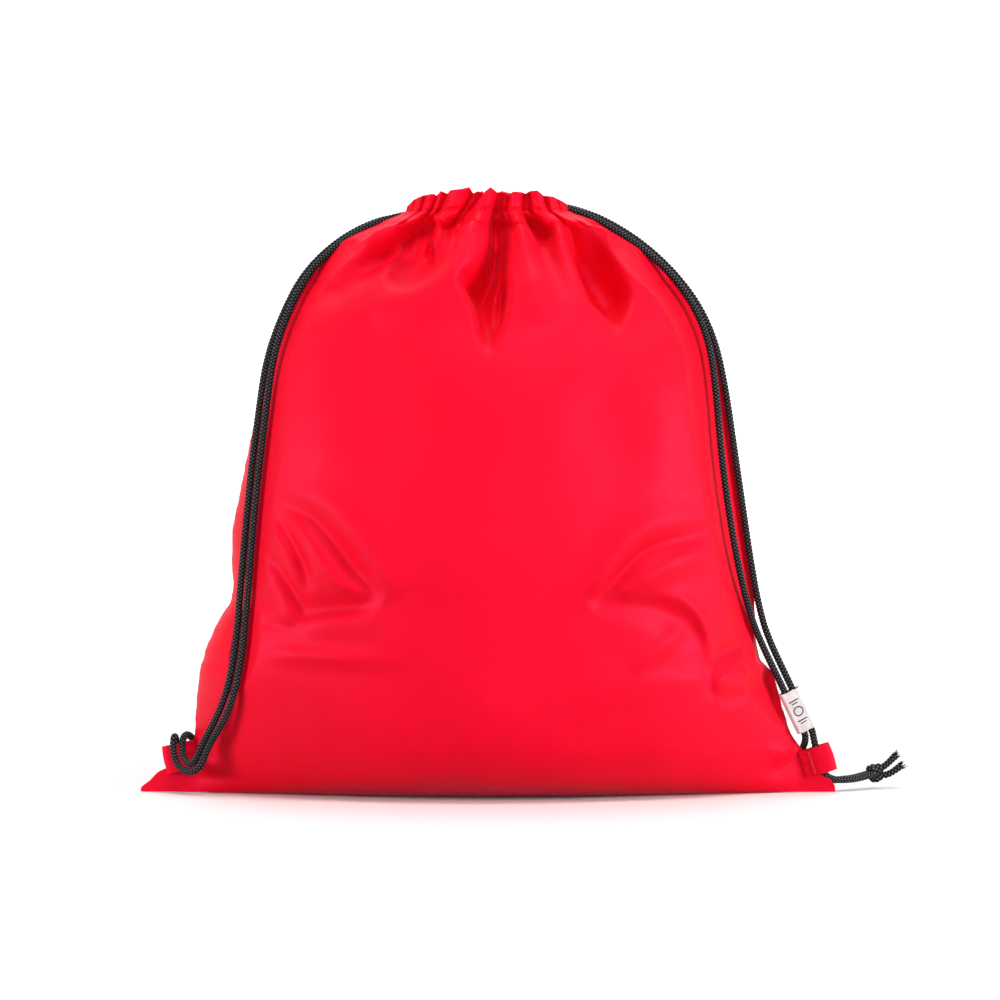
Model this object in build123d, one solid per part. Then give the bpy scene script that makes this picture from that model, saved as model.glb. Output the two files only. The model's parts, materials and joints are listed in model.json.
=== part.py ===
from build123d import *
import math
import os

# Drawstring backpack (gym bag) standing filled and drawn shut.
# Frame: X across the bag, front panel towards -Y, +Z up, origin on the floor
# under the middle of the bag. Millimetres.

# ---- driving dimensions ----
FLAT_WIDTH = 350.0        # width of the bag lying flat, and of its bottom seam
WALL = 1.2                # stand-in thickness of the cloth
CORD_D = 3.6              # braided draw cord
CORD_R = CORD_D / 2
HEM_BOTTOM = 288.0        # hem stitch line: below it is the panel, above it the channel
HEM_TOP = 303.0           # upper edge of the gathered mouth
NECK_STRAIGHT = 28.0      # half length of the neck's straight sides
NECK_OUTER_R = 17.0       # end radius of the gathered hem, outside
NECK_INNER_R = 8.0        # end radius of the mouth that stays open
CHANNEL_R = 12.5          # centre line of the cord channel inside the hem
CHANNEL_WIDTH = 4.6
CHANNEL_BOTTOM = 289.8
CHANNEL_TOP = 298.6
LOW_CORD_Z = 292.0        # the left strap's cord lies lower in the channel
HIGH_CORD_Z = 296.2       # the right strap's cord lies on top of it
SIDE_GAP = 8.0            # half width of the channel's side openings
PAIR = 2.0                # half spacing of two cords lying side by side
TAB_WIDTH = 14.0          # corner loops of folded tape
TAB_REACH = 13.0
TAB_HALF = 3.6
TAPE = 1.0
SEWN_IN = 3.0             # length of tape caught between the panels
LABEL_LENGTH = 22.0
LABEL_WIDTH = 10.2
LABEL_DEPTH = 5.4
LABEL_WALL = 0.5
KNOT_R = 5.2
THREAD = 0.5

# Level sections of the filled bag: height, reach to -X, reach to +X, half depth, and
# how sharply the two panels pinch together at the side seams (1 is an ellipse).
HALF = FLAT_WIDTH / 2
SECTIONS = [
    (0.0, HALF, HALF, 46.0, 1.7),
    (3.0, 173.0, 174.5, 52.0, 1.7),
    (6.0, 155.0, 169.0, 57.0, 1.6),
    (9.0, 150.8, 164.5, 61.0, 1.5),
    (15.0, 150.3, 161.5, 66.0, 1.4),
    (21.0, 150.0, 158.5, 70.0, 1.35),
    (27.0, 149.0, 152.5, 72.0, 1.3),
    (45.0, 145.5, 147.0, 76.0, 1.15),
    (65.0, 139.5, 140.0, 79.0, 1.1),
    (90.0, 128.0, 130.5, 82.0, 1.05),
    (130.0, 126.5, 127.5, 85.0, 1.0),
    (170.0, 120.0, 120.5, 83.0, 1.0),
    (210.0, 109.5, 111.5, 73.0, 1.0),
    (240.0, 97.0, 101.0, 57.0, 1.0),
    (258.0, 85.0, 87.5, 45.0, 1.0),
    (272.0, 72.5, 74.5, 35.0, 1.0),
    (282.0, 56.0, 59.5, 25.0, 1.0),
    (HEM_BOTTOM, 46.0, 46.0, 19.0, 1.0),
]
SEAM_INSET = 3.0          # the inside stops this far short of the side seam



def section_at(z):
    """Section sizes at height z, straight between the listed ones."""
    for low, high in zip(SECTIONS, SECTIONS[1:]):
        if z <= high[0]:
            t = (z - low[0]) / (high[0] - low[0])
            return tuple(p + (q - p) * t for p, q in zip(low, high))
    return SECTIONS[-1]


def arc_points(z, row, inset, depth_inset, side):
    """Half outline from the +X seam to the -X seam, bulging towards side * Y."""
    _, left, right, depth, pinch = row
    points = []
    for i in range(25):
        t = math.pi * i / 24
        reach = right if i <= 12 else left
        x = (reach - inset) * math.cos(t)
        y = side * (depth - depth_inset) * max(math.sin(t), 0.0) ** pinch
        points.append((x, y, z))
    return points


def panel(side):
    """One cloth panel: a thin bulged shell with the flat floor half under it."""
    outer = []
    for row in SECTIONS:
        curve = Spline(*arc_points(row[0], row, 0.0, 0.0, side))
        outer.append(Face(Wire([curve, Line(curve @ 1, curve @ 0)])))
    inner = []
    start = section_at(WALL)
    for row in [start] + SECTIONS[1:]:
        top = row[0] + (1.0 if row is SECTIONS[-1] else 0.0)
        curve = Spline(*arc_points(top, row, SEAM_INSET, WALL, side))
        back = Polyline(
            curve @ 1,
            curve @ 1 - Vector(0, side * 3, 0),
            curve @ 0 - Vector(0, side * 3, 0),
            curve @ 0,
        )
        inner.append(Face(Wire([curve] + list(back.edges()))))
    return loft(outer, ruled=True) - loft(inner, ruled=True)


def stadium(radius):
    """Level outline with straight front and back and round ends."""
    return SlotCenterToCenter(2 * NECK_STRAIGHT, 2 * radius)


def ring(outer_r, inner_r, bottom, top):
    face = stadium(outer_r) - stadium(inner_r)
    return extrude(Pos(0, 0, bottom) * face, amount=top - bottom)


def half_space(side, clear):
    """Everything on one side of the side openings."""
    return Pos(0, side * (clear + 50), 150) * Box(400, 100, 400)


def hem(side):
    body = ring(NECK_OUTER_R, NECK_INNER_R, HEM_BOTTOM, HEM_TOP)
    half = CHANNEL_WIDTH / 2
    body -= ring(CHANNEL_R + half, CHANNEL_R - half, CHANNEL_BOTTOM, CHANNEL_TOP)
    return body & half_space(side, SIDE_GAP)


def hem_stitch(side):
    line = ring(NECK_OUTER_R + THREAD, NECK_OUTER_R, HEM_BOTTOM + 0.6, HEM_BOTTOM + 1.2)
    return line & half_space(side, SIDE_GAP + 1)


def fillet_radii(points):
    """Largest smooth arcs: 0.45 of the shorter run over tan(half the turn)."""
    radii = []
    for a, b, c in zip(points, points[1:], points[2:]):
        before = b - a
        after = c - b
        turn = math.radians(before.get_angle(after))
        run = min(before.length, after.length)
        radii.append(0.45 * run / math.tan(turn / 2))
    return radii


def tube(name, route):
    """Round cord along straight runs joined by tangent arcs."""
    points = [Vector(*p) for p in route]
    radii = fillet_radii(points)
    path = FilletPolyline(*points, radius=radii)
    start = Plane(origin=path @ 0, z_dir=path % 0)
    body = sweep(start * Circle(CORD_R), path=path)
    share = body.volume / (math.pi * CORD_R**2 * path.length)
    print(f"{name}: length {path.length:.1f}, radii {[round(r, 1) for r in radii]}, volume share {share:.3f}")
    return body


def channel_cord(side, z):
    """The cord's run inside the channel: in at one side opening, out at the same."""
    entry_x = math.sqrt(CHANNEL_R**2 - SIDE_GAP**2)
    start = math.degrees(math.atan2(-SIDE_GAP, -entry_x)) + 360
    path = [
        CenterArc((-NECK_STRAIGHT, 0, z), CHANNEL_R, start, 270 - start),
        Line((-NECK_STRAIGHT, -CHANNEL_R, z), (NECK_STRAIGHT, -CHANNEL_R, z)),
        CenterArc((NECK_STRAIGHT, 0, z), CHANNEL_R, -90, 180),
        Line((NECK_STRAIGHT, CHANNEL_R, z), (-NECK_STRAIGHT, CHANNEL_R, z)),
        CenterArc((-NECK_STRAIGHT, 0, z), CHANNEL_R, 90, 270 - start),
    ]
    wire = Wire(path)
    begin = Plane(origin=wire @ 0, z_dir=wire % 0)
    body = sweep(begin * Circle(CORD_R), path=wire)
    return body if side < 0 else mirror(body, about=Plane.YZ)


def tab(root, out, down):
    """Folded tape loop: a flat U with its two ends caught in the side seam."""
    plane = Plane(origin=root, x_dir=out, z_dir=down)
    reach = TAB_REACH
    outline = Pos((reach - SEWN_IN) / 2, 0) * RectangleRounded(
        reach + SEWN_IN, 2 * TAB_HALF, TAB_HALF - 0.2
    )
    outline += Pos(-SEWN_IN / 2, 0) * Rectangle(SEWN_IN, 2 * TAB_HALF)
    inner = Pos((reach - TAPE + 1) / 2, 0) * RectangleRounded(
        reach - TAPE - 1, 2 * (TAB_HALF - TAPE), TAB_HALF - TAPE - 0.2
    )
    return extrude(plane * (outline - inner), amount=TAB_WIDTH / 2, both=True)


def bartack(root, out, down):
    """Dense row of stitches across the tape, on its front, beside the seam."""
    plane = Plane(origin=root + out * 2.0 - Vector(0, TAB_HALF, 0), x_dir=out, z_dir=(0, -1, 0))
    return extrude(plane * Rectangle(1.4, TAB_WIDTH - 2), amount=0.4)


def seam_strip(sign):
    """Seam allowance turned inside, up one side of the bag."""
    outer = []
    for z, left, right, _, _ in SECTIONS[6:-1]:
        reach = right if sign > 0 else left
        outer.append((sign * (reach - SEAM_INSET - 0.4), z))
    inner = [(x - sign * 6.0, z) for x, z in reversed(outer)]
    face = make_face(Polyline(*outer, *inner, close=True))
    return extrude(Plane.XZ * face, amount=0.6, both=True)


def stretch_along(start, end, offset, half_width, half_depth):
    """Rectangle across a straight stretch of the paired cords, starting at offset."""
    direction = (end - start).normalized()
    side = Vector(0, 1, 0).cross(direction).normalized()
    plane = Plane(origin=start + direction * offset, x_dir=side, z_dir=direction)
    return plane * RectangleRounded(2 * half_width, 2 * half_depth, 0.45 * half_depth)


def free_end(centre, points, backwards):
    """Short cord end standing out of a knot; the left knot's point to the back."""
    route = [(-y, x, z) if backwards else (x, y, z) for x, y, z in points]
    return [tuple(centre + Vector(*p)) for p in route]


# Swinging runs. The two cords of a strap lie side by side.
LEFT_FRONT_RUN = [
    (-42.0, -PAIR, 292.8), (-57.0, -2.2, 288.4), (-75.0, -3.5, 276.5),
    (-90.5, -8.5, 260.8), (-100.5, -16.5, 240.5), (-107.0, -25.5, 218.5),
    (-110.0, -31.5, 193.0), (-113.5, -36.0, 163.0), (-116.5, -39.0, 132.0),
    (-119.0, -38.5, 101.0), (-121.5, -41.0, 72.0), (-126.0, -40.5, 50.0),
    (-133.5, -31.0, 34.5), (-139.4, -23.0, 25.6), (-141.9, -22.2, 19.0),
]
LEFT_BACK_RUN = [
    (-42.0, PAIR, 292.8), (-58.5, 2.0, 288.6), (-76.5, 1.0, 277.2),
    (-92.8, -4.0, 261.0), (-103.0, -11.0, 240.5), (-110.5, -19.0, 218.5),
    (-114.0, -25.5, 193.0), (-117.5, -30.5, 163.0), (-120.5, -33.5, 132.0),
    (-123.0, -33.5, 101.0), (-125.5, -36.5, 72.0), (-130.0, -36.5, 51.0),
    (-137.3, -27.0, 35.5), (-142.6, -20.4, 26.6), (-144.9, -19.9, 20.7),
]
RIGHT_FRONT_RUN = [
    (45.0, -PAIR, 294.9), (57.5, -2.4, 289.4), (75.0, -3.5, 277.5),
    (91.0, -6.0, 262.0), (103.0, -11.0, 245.5), (110.5, -17.5, 226.5),
    (113.5, -23.5, 203.0), (115.5, -30.5, 175.0), (119.0, -33.0, 146.0),
    (124.0, -30.5, 117.0), (130.2, -20.5, 93.0), (136.4, -10.6, 77.0),
    (159.2, -3.0, 30.1),
]
RIGHT_BACK_RUN = [
    (45.0, PAIR, 294.9), (58.0, 2.2, 289.8), (76.0, 1.5, 278.5),
    (92.5, 0.0, 263.0), (105.5, -4.0, 246.0), (114.0, -8.0, 227.0),
    (119.0, -10.5, 203.0), (123.0, -11.5, 175.0), (127.2, -12.5, 146.0),
    (131.5, -12.0, 117.0), (135.8, -10.8, 94.0), (140.4, -9.4, 78.4),
    (162.8, -3.0, 31.9),
]

# Held legs, from the anchors round and through the corner loops.
LEFT_FRONT_LEG = [
    (-142.1, -22.3, 18.4), (-144.0, -21.2, 13.4), (-150.5, -16.0, 11.2),
    (-156.3, -10.5, 15.0), (-158.2, -7.4, 21.5), (-158.0, -6.2, 28.4),
    (-157.4, 0.0, 28.4), (-155.8, 0.0, 18.4), (-153.8, 0.4, 9.0),
    (-152.0, 7.9, 7.4), (-149.4, 17.0, 5.2), (-147.3, 28.0, 4.0),
    (-147.0, 41.0, 4.0),
]
LEFT_BACK_LEG = [
    (-145.3, -19.9, 19.4), (-147.3, -18.0, 15.2), (-151.5, -12.2, 16.2),
    (-153.6, -8.0, 21.0), (-153.6, -4.5, 28.0), (-151.5, 3.0, 29.6),
    (-148.2, 10.0, 25.0), (-146.2, 16.5, 16.0), (-144.0, 27.0, 7.0),
    (-143.1, 41.0, 4.0),
]
RIGHT_FRONT_LEG = [
    (159.5, -2.9, 29.4), (160.0, -1.4, 25.8), (158.8, 8.4, 21.8),
    (160.0, 11.0, 14.5), (166.0, 10.6, 7.6), (172.5, 8.0, 5.2), (178.5, 10.4, 5.6),
]
RIGHT_BACK_LEG = [
    (163.1, -2.9, 31.2), (164.4, -0.8, 25.0), (166.8, 0.0, 16.6),
    (169.4, 0.3, 8.8), (174.4, 4.1, 6.0), (180.9, 7.4, 5.6),
]

# Knotted ends: they fold up just past each corner loop.
LEFT_KNOT = Vector(-145.0, 62.5, 6.4)
RIGHT_KNOT = Vector(196.7, 22.0, 8.2)
LEFT_FRONT_END = [(-147.0, 41.7, 4.0), (-147.0, 49.5, 4.0), (-146.9, 58.6, 5.6)]
LEFT_BACK_END = [(-143.1, 41.7, 4.0), (-143.1, 49.5, 4.0), (-143.1, 58.6, 5.6)]
RIGHT_FRONT_END = [(179.0, 10.9, 5.6), (185.6, 16.1, 5.9), (192.3, 21.2, 7.4)]
RIGHT_BACK_END = [(181.4, 7.9, 5.6), (188.0, 13.0, 5.9), (194.7, 18.1, 7.4)]
FREE_END_HIGH = [(4.0, 0.8, 2.4), (7.5, 1.6, 5.2), (11.5, 3.0, 9.0)]
FREE_END_LOW = [(4.4, -0.8, -1.8), (9.0, -1.0, 0.2), (14.5, 0.2, 4.0)]

# Corner loops: root in the side seam, way out of it, way down along it.
LEFT_TAB = (Vector(-150.0, 0, 19.0), Vector(-0.975, 0, -0.22), Vector(0.22, 0, -0.975))
RIGHT_TAB = (Vector(161.1, 0, 14.6), Vector(0.95, 0, 0.31), Vector(0.31, 0, -0.95))

parts = {}
for name, side in (("front", -1), ("back", 1)):
    parts[f"{name}_panel"] = panel(side)
    parts[f"{name}_hem"] = hem(side)
    parts[f"{name}_hem_stitching"] = hem_stitch(side)
parts["left_side_seam"] = seam_strip(-1)
parts["right_side_seam"] = seam_strip(1)
parts["bottom_seam"] = Pos(0, 0, WALL + 0.2 + 2.5) * Box(280, 1.2, 5.0)
parts["left_corner_loop"] = tab(*LEFT_TAB)
parts["right_corner_loop"] = tab(*RIGHT_TAB)
parts["left_loop_bartack"] = bartack(*LEFT_TAB)
parts["right_loop_bartack"] = bartack(*RIGHT_TAB)
parts["left_channel_cord"] = channel_cord(-1, LOW_CORD_Z)
parts["right_channel_cord"] = channel_cord(1, HIGH_CORD_Z)

routes = {
    "left_front_run": LEFT_FRONT_RUN, "left_back_run": LEFT_BACK_RUN,
    "right_front_run": RIGHT_FRONT_RUN, "right_back_run": RIGHT_BACK_RUN,
    "left_front_leg": LEFT_FRONT_LEG, "left_back_leg": LEFT_BACK_LEG,
    "right_front_leg": RIGHT_FRONT_LEG, "right_back_leg": RIGHT_BACK_LEG,
    "left_front_end": LEFT_FRONT_END, "left_back_end": LEFT_BACK_END,
    "right_front_end": RIGHT_FRONT_END, "right_back_end": RIGHT_BACK_END,
}
for side, centre in (("left", LEFT_KNOT), ("right", RIGHT_KNOT)):
    routes[f"{side}_high_tail"] = free_end(centre, FREE_END_HIGH, side == "left")
    routes[f"{side}_low_tail"] = free_end(centre, FREE_END_LOW, side == "left")
    parts[f"{side}_knot"] = Pos(*centre) * Sphere(KNOT_R)
for name, route in routes.items():
    parts[name] = tube(name, route)

# Label: a tape sleeve round both right cords, with a line of stitches down its edge.
low_end = (Vector(*RIGHT_FRONT_RUN[-1]) + Vector(*RIGHT_BACK_RUN[-1])) / 2
high_end = (Vector(*RIGHT_FRONT_RUN[-2]) + Vector(*RIGHT_BACK_RUN[-2])) / 2
sleeve = stretch_along(low_end, high_end, 1.2, LABEL_WIDTH / 2, LABEL_DEPTH / 2)
sleeve -= stretch_along(
    low_end, high_end, 1.2, LABEL_WIDTH / 2 - LABEL_WALL, LABEL_DEPTH / 2 - LABEL_WALL
)
parts["label"] = extrude(sleeve, amount=LABEL_LENGTH)

os.makedirs("parts", exist_ok=True)
for name, body in parts.items():
    body.label = name
    export_step(body, f"parts/{name}.step")
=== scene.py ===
import json
import math

import bpy
import numpy as np
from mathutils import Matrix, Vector


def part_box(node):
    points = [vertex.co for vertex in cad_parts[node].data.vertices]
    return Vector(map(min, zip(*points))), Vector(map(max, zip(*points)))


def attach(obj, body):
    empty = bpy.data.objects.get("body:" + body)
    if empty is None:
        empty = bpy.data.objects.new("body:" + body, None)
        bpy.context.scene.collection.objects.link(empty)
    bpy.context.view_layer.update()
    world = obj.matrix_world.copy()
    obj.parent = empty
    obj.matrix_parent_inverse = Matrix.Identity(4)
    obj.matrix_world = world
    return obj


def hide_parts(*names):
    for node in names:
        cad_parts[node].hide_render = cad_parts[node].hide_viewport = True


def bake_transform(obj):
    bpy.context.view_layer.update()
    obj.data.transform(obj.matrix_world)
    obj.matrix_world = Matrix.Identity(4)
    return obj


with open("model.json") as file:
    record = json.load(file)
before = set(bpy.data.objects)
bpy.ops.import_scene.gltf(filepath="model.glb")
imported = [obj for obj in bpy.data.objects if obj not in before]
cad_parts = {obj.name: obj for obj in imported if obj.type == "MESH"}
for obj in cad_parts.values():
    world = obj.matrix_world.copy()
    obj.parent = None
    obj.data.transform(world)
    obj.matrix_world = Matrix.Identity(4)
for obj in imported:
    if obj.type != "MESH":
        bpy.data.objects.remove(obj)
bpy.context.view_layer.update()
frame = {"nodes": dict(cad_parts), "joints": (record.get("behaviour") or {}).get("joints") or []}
MM = 0.001
CORD_D = 3.6

# ------------------------------------------------------------------ camera
# Long lens, almost level, in front of the bag and a little above its middle.
ELEVATION = math.radians(1.8)
DISTANCE = 2.4
AIM = np.array([0.006, 0.0, 0.1474])
camera_data = bpy.data.cameras.new("camera")
camera = bpy.data.objects.new("camera", camera_data)
bpy.context.scene.collection.objects.link(camera)
camera_data.sensor_width = 36.0
camera_data.lens = 36.0 * DISTANCE / 0.503
camera_data.clip_end = 50.0
CAMERA_AT = AIM + DISTANCE * np.array([0.0, -math.cos(ELEVATION), math.sin(ELEVATION)])
camera.location = CAMERA_AT
camera.rotation_euler = (math.pi / 2 - ELEVATION, 0.0, 0.0)
bpy.context.scene.camera = camera


# ------------------------------------------------------------------ helpers
def new_mesh(name, verts, faces, uvs=None, smooth=True):
    """Mesh object from arrays in metres; uvs is one pair per vertex."""
    mesh = bpy.data.meshes.new(name)
    mesh.from_pydata([tuple(map(float, v)) for v in verts], [], [tuple(map(int, f)) for f in faces])
    if uvs is not None:
        layer = mesh.uv_layers.new(name="UVMap")
        loops = np.empty(len(mesh.loops), dtype=np.int32)
        mesh.loops.foreach_get("vertex_index", loops)
        layer.data.foreach_set("uv", np.asarray(uvs, dtype=np.float32)[loops].ravel())
    if smooth:
        mesh.polygons.foreach_set("use_smooth", [True] * len(mesh.polygons))
    mesh.update()
    obj = bpy.data.objects.new(name, mesh)
    bpy.context.scene.collection.objects.link(obj)
    return obj


def grid_faces(rows, cols, closed=False):
    """Quads of a rows by cols grid, row after row."""
    j, i = np.meshgrid(np.arange(rows - 1), np.arange(cols if closed else cols - 1), indexing="ij")
    k = (i + 1) % cols
    a, b = j * cols + i, j * cols + k
    return np.stack([a, b, b + cols, a + cols], axis=-1).reshape(-1, 4)


def smooth_rows(xs, ys, x):
    """Monotone cubic through given values."""
    xs, ys = np.asarray(xs, float), np.asarray(ys, float)
    h, d = np.diff(xs), np.diff(ys) / np.diff(xs)
    m = np.zeros(len(xs))
    m[0], m[-1] = d[0], d[-1]
    for k in range(1, len(xs) - 1):
        if d[k - 1] * d[k] > 0:
            w1, w2 = 2 * h[k] + h[k - 1], h[k] + 2 * h[k - 1]
            m[k] = (w1 + w2) / (w1 / d[k - 1] + w2 / d[k])
    k = np.clip(np.searchsorted(xs, x) - 1, 0, len(xs) - 2)
    t = np.clip((x - xs[k]) / h[k], 0, 1)
    return (
        ys[k] * (1 + 2 * t) * (1 - t) ** 2
        + ys[k + 1] * t**2 * (3 - 2 * t)
        + h[k] * (m[k] * t * (1 - t) ** 2 - m[k + 1] * t**2 * (1 - t))
    )


def step(a, b, x):
    t = np.clip((x - a) / (b - a), 0, 1)
    return t * t * (3 - 2 * t)


def spline(points, name="route"):
    """Points along the smooth curve that has the given control points."""
    data = bpy.data.curves.new(name, "CURVE")
    data.dimensions = "3D"
    s = data.splines.new("NURBS")
    s.points.add(len(points) - 1)
    for p, q in zip(s.points, points):
        p.co = (*[c * MM for c in q], 1.0)
    s.order_u = 3
    s.use_endpoint_u = True
    s.resolution_u = 32
    obj = bpy.data.objects.new(name, data)
    bpy.context.scene.collection.objects.link(obj)
    mesh = bpy.data.meshes.new_from_object(obj)
    found = np.array([v.co[:] for v in mesh.vertices])
    bpy.data.objects.remove(obj)
    bpy.data.curves.remove(data)
    bpy.data.meshes.remove(mesh)
    return found


def evenly(line, step_m):
    """The same line with points the same distance apart."""
    gaps = np.linalg.norm(np.diff(line, axis=0), axis=1)
    line = line[np.concatenate([[True], gaps > 1e-9])]
    along = np.concatenate([[0], np.cumsum(np.linalg.norm(np.diff(line, axis=0), axis=1))])
    count = max(4, int(round(along[-1] / step_m)))
    at = np.linspace(0, along[-1], count + 1)
    return np.stack([np.interp(at, along, line[:, k]) for k in range(3)], axis=1), at


def frames_along(line):
    """Directions across a line that don't twist."""
    ahead = np.gradient(line, axis=0)
    ahead /= np.linalg.norm(ahead, axis=1)[:, None]
    across = np.zeros_like(line)
    first = np.cross(ahead[0], [0.0, 1.0, 0.0])
    if np.linalg.norm(first) < 0.1:
        first = np.cross(ahead[0], [1.0, 0.0, 0.0])
    across[0] = first / np.linalg.norm(first)
    for k in range(1, len(line)):
        v = across[k - 1] - ahead[k] * (across[k - 1] @ ahead[k])
        across[k] = v / np.linalg.norm(v)
    return ahead, across, np.cross(ahead, across)


BRAID_CELLS = 4      # strands each way round the cord
BRAID_PITCH = 0.0036  # twice the length of one stitch of the braid


def braid_height(theta, along):
    """Height of a two-way braid, 0 in the gaps and 1 on top of a strand."""
    a = BRAID_CELLS * theta / (2 * math.pi) + along / BRAID_PITCH * 2
    b = BRAID_CELLS * theta / (2 * math.pi) - along / BRAID_PITCH * 2
    over = (np.floor(a) + np.floor(b)) % 2
    fa, fb = a % 1, b % 1
    high_a = np.sin(math.pi * fa) ** 0.6 * (0.45 + 0.55 * np.sin(math.pi * fb))
    high_b = np.sin(math.pi * fb) ** 0.6 * (0.45 + 0.55 * np.sin(math.pi * fa))
    return np.where(over > 0.5, high_a, high_b)


def braid(name, line, diameter=CORD_D + 0.1, step_mm=0.22, around=22, depth=0.42, taper=None):
    """Braided tube round a line of points in metres."""
    line, along = evenly(line, step_mm * MM)
    _, across, up = frames_along(line)
    theta = np.linspace(0, 2 * math.pi, around, endpoint=False)
    high = braid_height(theta[None, :], along[:, None])
    radius = diameter / 2 * MM - depth * MM * (1 - high)
    if taper is not None:
        radius = radius * taper(along, along[-1])[:, None]
    ring = (
        line[:, None, :]
        + radius[:, :, None] * (np.cos(theta)[None, :, None] * across[:, None, :] + np.sin(theta)[None, :,
            None] * up[:, None, :])
    )
    verts = ring.reshape(-1, 3)
    faces = [tuple(f) for f in grid_faces(len(line), around, closed=True)]
    uv = np.stack([np.repeat(along, around) * 100, np.tile(theta / (2 * math.pi), len(line))], axis=1)
    verts = np.vstack([verts, line[0], line[-1]])
    uv = np.vstack([uv, [0, 0], [along[-1] * 100, 0]])
    n = len(line) * around
    for i in range(around):
        k = (i + 1) % around
        faces.append((k, i, n))
        faces.append((n - around + i, n - around + k, n + 1))
    obj = new_mesh(name, verts, faces, uv)
    # the strand heights go on as the 'high' attribute, from which the cord material paints highlight on the strand
    # tops and shade in the gaps
    strand_light_shade_attr = obj.data.attributes.new("high", "FLOAT", "POINT")
    strand_light_shade_attr.data.foreach_set("value", np.concatenate([high.ravel(), [0.3, 0.3]]).astype(np.float32))
    return obj, line


# ------------------------------------------------------------------ materials
def material(name):
    m = bpy.data.materials.new(name)
    m.use_nodes = True
    return m, m.node_tree.nodes, m.node_tree.links, m.node_tree.nodes["Principled BSDF"]


def set_inputs(node, values):
    for socket, value in values.items():
        node.inputs[socket].default_value = value


def math_node(operation, a, b=None):
    """One maths node; the tree is the one its first linked socket belongs to."""
    tree = (b if isinstance(a, (int, float)) else a).id_data
    n = tree.nodes.new("ShaderNodeMath")
    n.operation = operation
    for socket, value in zip(n.inputs, (a, b)):
        if value is None:
            continue
        if isinstance(value, (int, float)):
            socket.default_value = value
        else:
            tree.links.new(value, socket)
    return n.outputs[0]


def ramp(value, stops):
    tree = value.id_data
    n = tree.nodes.new("ShaderNodeValToRGB")
    while len(n.color_ramp.elements) < len(stops):
        n.color_ramp.elements.new(0.5)
    for e, (at, colour) in zip(n.color_ramp.elements, stops):
        e.position = at
        e.color = (*colour, 1.0)
    tree.links.new(value, n.inputs["Fac"])
    return n.outputs["Color"]


def noise_node(vector, scale, detail=3.0, rough=0.5):
    tree = vector.id_data
    n = tree.nodes.new("ShaderNodeTexNoise")
    n.inputs["Scale"].default_value = scale
    n.inputs["Detail"].default_value = detail
    n.inputs["Roughness"].default_value = rough
    tree.links.new(vector, n.inputs["Vector"])
    return n.outputs["Fac"]


def bump_node(height, strength, distance):
    tree = height.id_data
    n = tree.nodes.new("ShaderNodeBump")
    n.inputs["Strength"].default_value = strength
    n.inputs["Distance"].default_value = distance
    tree.links.new(height, n.inputs["Height"])
    return n.outputs[0]


def cloth_material(name, dark, light, pitch=0.00050, weave=0.05):
    """Plain-woven polyester: fine weave, uneven threads, soft satin sheen."""
    m, nodes, links, shader = material(name)
    uv = nodes.new("ShaderNodeUVMap")
    uv.uv_map = "UVMap"
    split = nodes.new("ShaderNodeSeparateXYZ")
    links.new(uv.outputs[0], split.inputs[0])
    wave = 2 * math.pi / pitch
    warp = math_node("SINE", math_node("MULTIPLY", split.outputs[0], wave))
    weft = math_node("SINE", math_node("MULTIPLY", split.outputs[1], wave))
    check = math_node("MULTIPLY", warp, weft)
    # uneven threads: noise drawn out along each direction
    def threads(sx, sy):
        mapping = nodes.new("ShaderNodeMapping")
        mapping.inputs["Scale"].default_value = (sx, sy, 1.0)
        links.new(uv.outputs[0], mapping.inputs["Vector"])
        return noise_node(mapping.outputs[0], 1.0, 2.0)
    across = threads(900.0, 60.0)
    along = threads(60.0, 900.0)
    slub = math_node("ADD", across, along)
    geo = nodes.new("ShaderNodeNewGeometry")
    cloudy = noise_node(geo.outputs["Position"], 14.0, 4.0, 0.6)
    tone = math_node("ADD", math_node("MULTIPLY", slub, 0.35), math_node("MULTIPLY", cloudy, 0.65))
    links.new(ramp(tone, [(0.3, dark), (0.75, light)]), shader.inputs["Base Color"])
    rough = math_node("ADD", math_node("MULTIPLY", slub, 0.16), 0.40)
    links.new(rough, shader.inputs["Roughness"])
    height = math_node("ADD", math_node("MULTIPLY", check, 0.5), math_node("MULTIPLY", slub, 1.2))
    bump = bump_node(height, 0.35, weave * MM)
    fine = noise_node(geo.outputs["Position"], 90.0, 3.0, 0.55)
    bump2 = bump_node(fine, 0.12, 0.35 * MM)
    links.new(bump, bump2.node.inputs["Normal"])
    links.new(bump2, shader.inputs["Normal"])
    set_inputs(shader, {
        "Specular IOR Level": 0.36,
        "Specular Tint": (1.0, 0.24, 0.78, 1.0),
        "Sheen Weight": 0.08,
        "Sheen Roughness": 0.35,
        "Sheen Tint": (1.0, 0.18, 0.42, 1.0),
    })
    return m


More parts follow.
